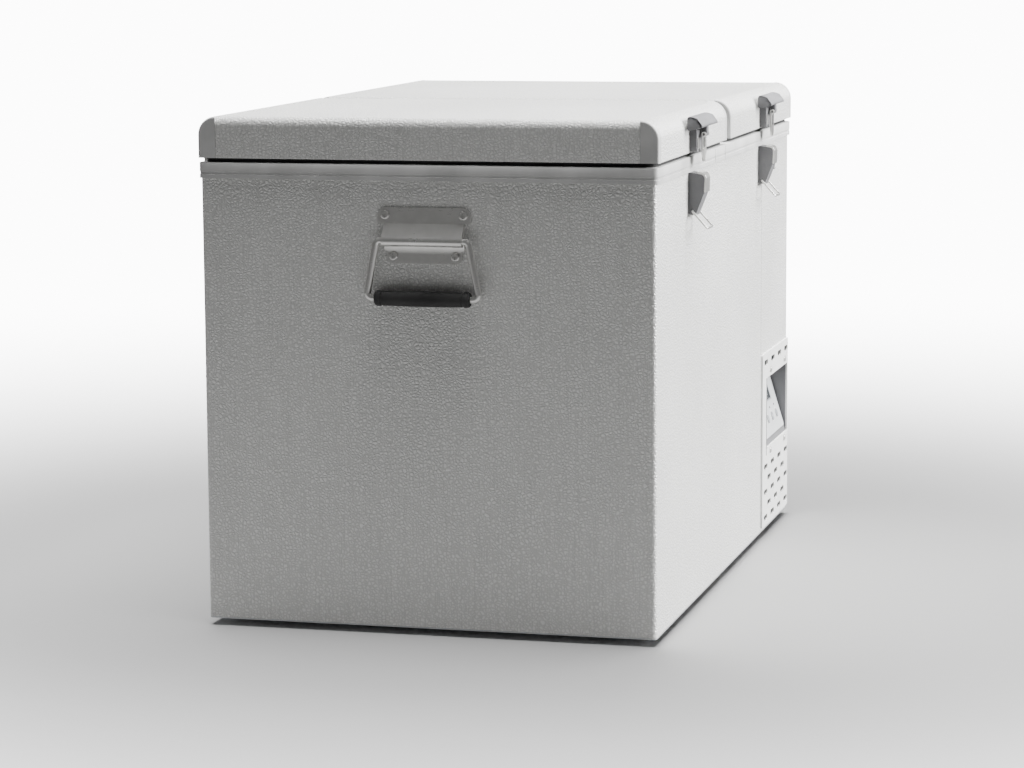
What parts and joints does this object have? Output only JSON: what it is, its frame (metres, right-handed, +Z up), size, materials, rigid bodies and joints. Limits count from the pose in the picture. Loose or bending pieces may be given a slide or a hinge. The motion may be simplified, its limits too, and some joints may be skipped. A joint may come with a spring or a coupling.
{
  "type": "portable compressor fridge",
  "caption": "Twin-lid chest-type compressor fridge with embossed steel cabinet, latches, bail end handles and a recessed control panel.",
  "frame": {"origin": "middle of the rectangle the feet stand in, on the floor plane", "axes": "+X along the length towards the compressor bay, -Y towards the latches, +Z up"},
  "size_m": [0.834, 0.548, 0.556],
  "materials": {
    "embossed_steel": "leather-grain embossed stainless sheet, satin",
    "galvanised_steel": "galvanised sheet, dull spangle",
    "stainless_steel": "polished stainless",
    "grey_plastic": "fine-textured grey moulding",
    "latch_plastic": "glass-filled charcoal moulding",
    "black_rubber": "matt black rubber",
    "light_plastic": "light grey moulding, fine spark texture",
    "face_film": "printed overlay film, satin",
    "display_glass": "dark tinted window",
    "button_rubber": "soft key, satin",
    "white_badge": "domed white resin",
    "liner_plastic": "white sanitary liner",
    "foam": "rigid polyurethane foam",
    "evaporator_aluminium": "mill finish aluminium",
    "copper": "drawn copper tube",
    "compressor_paint": "black stove enamel",
    "black_plastic": "black moulding",
    "circuit_board": "green solder mask"
  },
  "bodies": {
    "cabinet": {"base_pan": "galvanised_steel", "feet": "black_rubber", "cabinet_screws": "stainless_steel", "outer_shell": "embossed_steel", "compressor_cover": "embossed_steel", "evaporators": "evaporator_aluminium", "foam_body": "foam", "inner_liners": "liner_plastic", "drain_plug": "black_rubber", "rim_bands": "grey_plastic", "vent_panel": "light_plastic", "control_housing": "latch_plastic", "control_face": "face_film", "display_window": "display_glass", "control_board": "circuit_board", "blank_badge": "white_badge", "compressor": "compressor_paint", "compressor_grommets": "black_rubber", "compressor_controller": "black_plastic", "condenser_fins": "evaporator_aluminium", "refrigerant_lines": "copper", "fan_shroud": "black_plastic", "fan_motor": "black_plastic", "power_inlets": "black_plastic", "hinge_leaves_cabinet": "stainless_steel", "hinge_pins": "stainless_steel", "handle_plates": "stainless_steel", "catch_bodies": "latch_plastic", "catch_plates": "stainless_steel"},
    "fan": {"fan_rotor": "black_plastic"},
    "power_button": {"button_power": "button_rubber"},
    "down_button": {"button_down": "button_rubber"},
    "up_button": {"button_up": "button_rubber"},
    "set_button": {"button_set": "button_rubber"},
    "lid_left": {"lid_skin_left": "embossed_steel", "lid_corners_left": "grey_plastic", "lid_foam_left": "foam", "lid_pan_left": "liner_plastic", "lid_gasket_left": "black_rubber", "lid_fasteners_left": "stainless_steel", "hinge_leaves_lid_left": "stainless_steel", "latch_base_left": "latch_plastic"},
    "hood_left": {"latch_hood_left": "latch_plastic"},
    "tongue_left": {"latch_tongue_left": "stainless_steel"},
    "bail_left": {"handle_bail_left": "stainless_steel", "handle_grip_left": "black_rubber"},
    "loop_left": {"catch_loop_left": "stainless_steel"},
    "lid_right": {"lid_skin_right": "embossed_steel", "lid_corners_right": "grey_plastic", "lid_foam_right": "foam", "lid_pan_right": "liner_plastic", "lid_gasket_right": "black_rubber", "lid_fasteners_right": "stainless_steel", "hinge_leaves_lid_right": "stainless_steel", "latch_base_right": "latch_plastic"},
    "hood_right": {"latch_hood_right": "latch_plastic"},
    "tongue_right": {"latch_tongue_right": "stainless_steel"},
    "bail_right": {"handle_bail_right": "stainless_steel", "handle_grip_right": "black_rubber"},
    "loop_right": {"catch_loop_right": "stainless_steel"}
  },
  "joints": [
    {"name": "left_lid_hinge", "type": "hinge", "parent": "cabinet", "child": "lid_left", "pos_m": [-0.21575, 0.268, 0.509], "axis": [-1, 0, 0], "range_deg": [0, 95]},
    {"name": "right_lid_hinge", "type": "hinge", "parent": "cabinet", "child": "lid_right", "pos_m": [0.19825, 0.268, 0.509], "axis": [-1, 0, 0], "range_deg": [0, 95]},
    {"name": "left_hood_hinge", "type": "hinge", "parent": "lid_left", "child": "hood_left", "pos_m": [-0.222, -0.2585, 0.546], "axis": [-1, 0, 0], "range_deg": [0, 60]},
    {"name": "left_tongue_hinge", "type": "hinge", "parent": "hood_left", "child": "tongue_left", "pos_m": [-0.222, -0.2665, 0.531], "axis": [-1, 0, 0], "range_deg": [0, 40]},
    {"name": "right_hood_hinge", "type": "hinge", "parent": "lid_right", "child": "hood_right", "pos_m": [0.2, -0.2585, 0.546], "axis": [-1, 0, 0], "range_deg": [0, 60]},
    {"name": "right_tongue_hinge", "type": "hinge", "parent": "hood_right", "child": "tongue_right", "pos_m": [0.2, -0.2665, 0.531], "axis": [-1, 0, 0], "range_deg": [0, 40]},
    {"name": "left_handle_swing", "type": "hinge", "parent": "cabinet", "child": "bail_left", "pos_m": [-0.4085, 0, 0.427], "axis": [0, 1, 0], "range_deg": [0, 90]},
    {"name": "right_handle_swing", "type": "hinge", "parent": "cabinet", "child": "bail_right", "pos_m": [0.4085, 0, 0.427], "axis": [0, -1, 0], "range_deg": [0, 90]},
    {"name": "left_loop_swing", "type": "hinge", "parent": "cabinet", "child": "loop_left", "pos_m": [-0.222, -0.255, 0.448], "axis": [-1, 0, 0], "range_deg": [0, 90]},
    {"name": "right_loop_swing", "type": "hinge", "parent": "cabinet", "child": "loop_right", "pos_m": [0.2, -0.255, 0.448], "axis": [-1, 0, 0], "range_deg": [0, 90]},
    {"name": "power_button_press", "type": "slide", "parent": "cabinet", "child": "power_button", "axis": [0, 0.959, -0.2833], "range_m": [0, 0.001], "stiffness_N_per_m": 600},
    {"name": "down_button_press", "type": "slide", "parent": "cabinet", "child": "down_button", "axis": [0, 0.959, -0.2833], "range_m": [0, 0.001], "stiffness_N_per_m": 600},
    {"name": "up_button_press", "type": "slide", "parent": "cabinet", "child": "up_button", "axis": [0, 0.959, -0.2833], "range_m": [0, 0.001], "stiffness_N_per_m": 600},
    {"name": "set_button_press", "type": "slide", "parent": "cabinet", "child": "set_button", "axis": [0, 0.959, -0.2833], "range_m": [0, 0.001], "stiffness_N_per_m": 600},
    {"name": "fan_spin", "type": "hinge", "parent": "cabinet", "child": "fan", "pos_m": [0.303, -0.134, 0.112], "axis": [0, 1, 0], "continuous": true}
  ]
}
